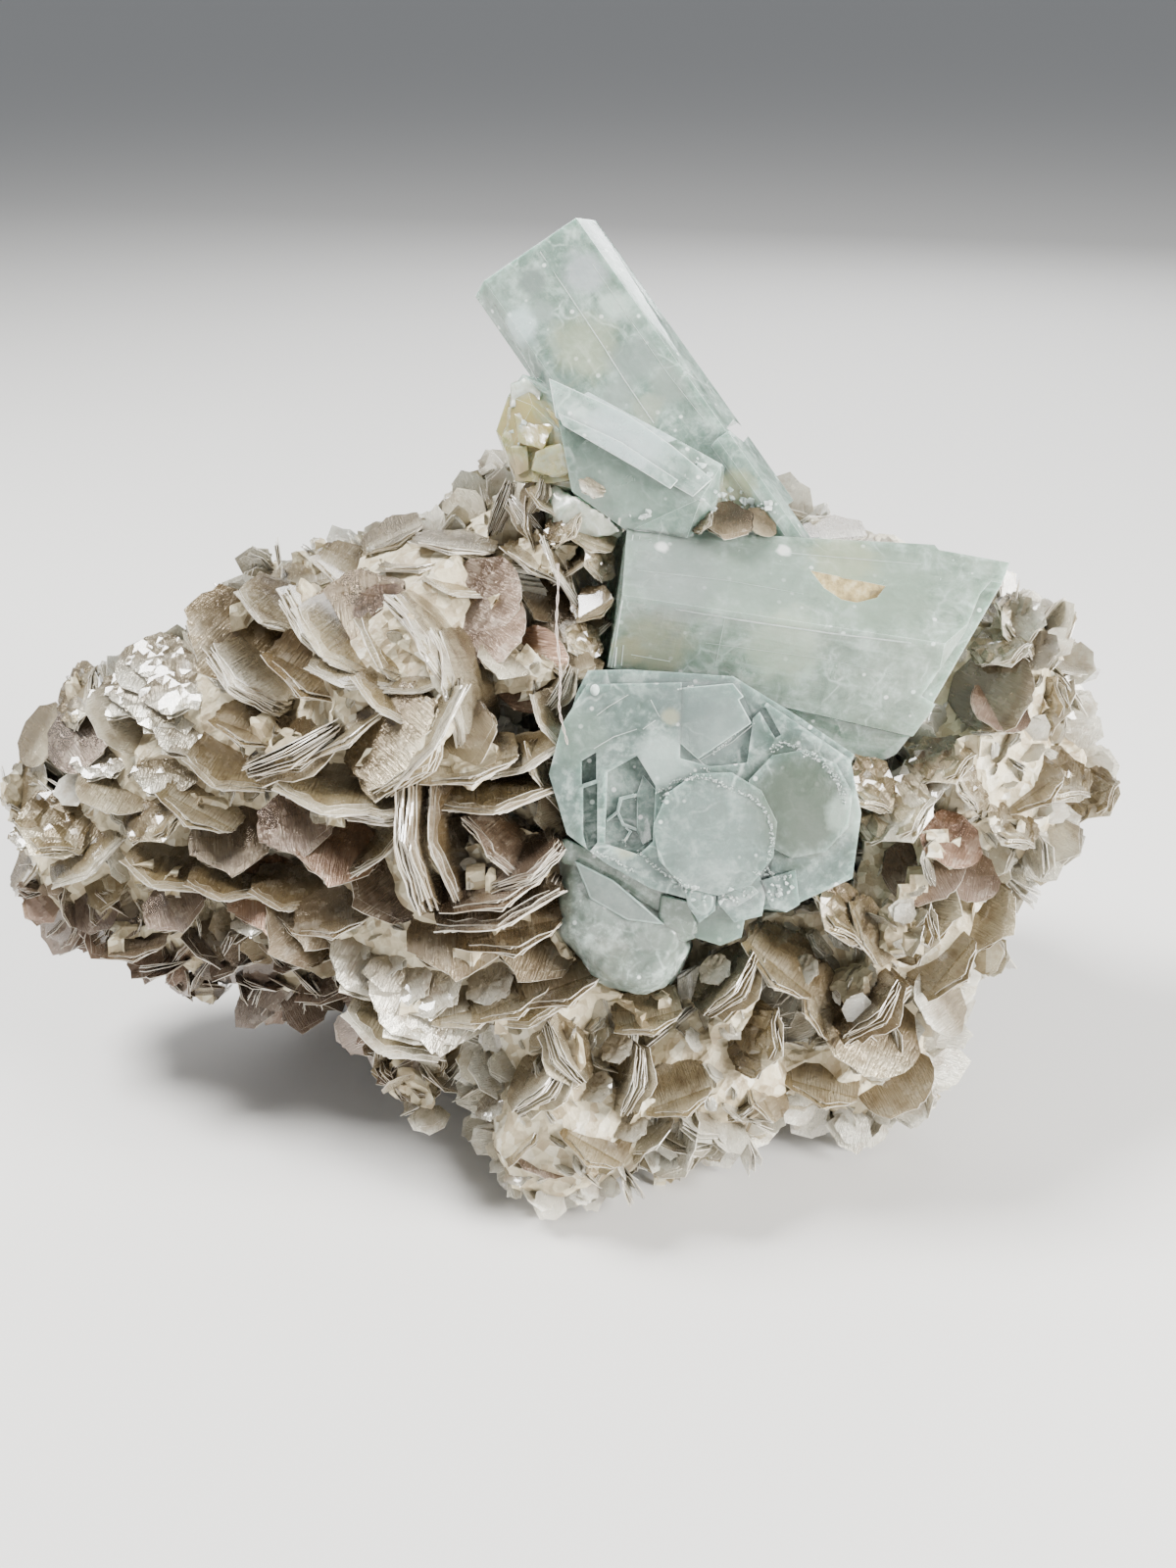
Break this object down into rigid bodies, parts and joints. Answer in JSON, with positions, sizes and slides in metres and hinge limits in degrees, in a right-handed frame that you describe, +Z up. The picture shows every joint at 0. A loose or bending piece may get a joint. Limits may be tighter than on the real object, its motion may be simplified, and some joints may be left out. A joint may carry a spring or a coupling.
{
  "type": "mineral specimen",
  "caption": "Aquamarine prisms grown on a knobbly matrix of stacked and fanned muscovite mica sheets, standing on the knobs of its underside.",
  "frame": {"origin": "on the surface it stands on, below the middle of its bounding box", "axes": "+Z up, +X along its longest extent, front with the etched crystal end towards -Y"},
  "size_m": [0.127, 0.0732, 0.0949],
  "materials": {
    "mica": "pearly cleavage faces, cream to pinkish brown, with pale silvery sheet edges",
    "aquamarine_milky": "milky translucent blue-green, frosted and etched on the end face",
    "aquamarine_pale": "pale blue-green, translucent, glassy prism faces with fine clouds",
    "aquamarine_grey": "grey-green, rough broken surface"
  },
  "bodies": {
    "root": {"mica_matrix": "mica", "front_aquamarine": "aquamarine_milky", "lying_aquamarine": "aquamarine_pale", "lower_aquamarine": "aquamarine_milky", "leaning_aquamarine": "aquamarine_pale", "grey_aquamarine": "aquamarine_grey"}
  },
  "joints": []
}
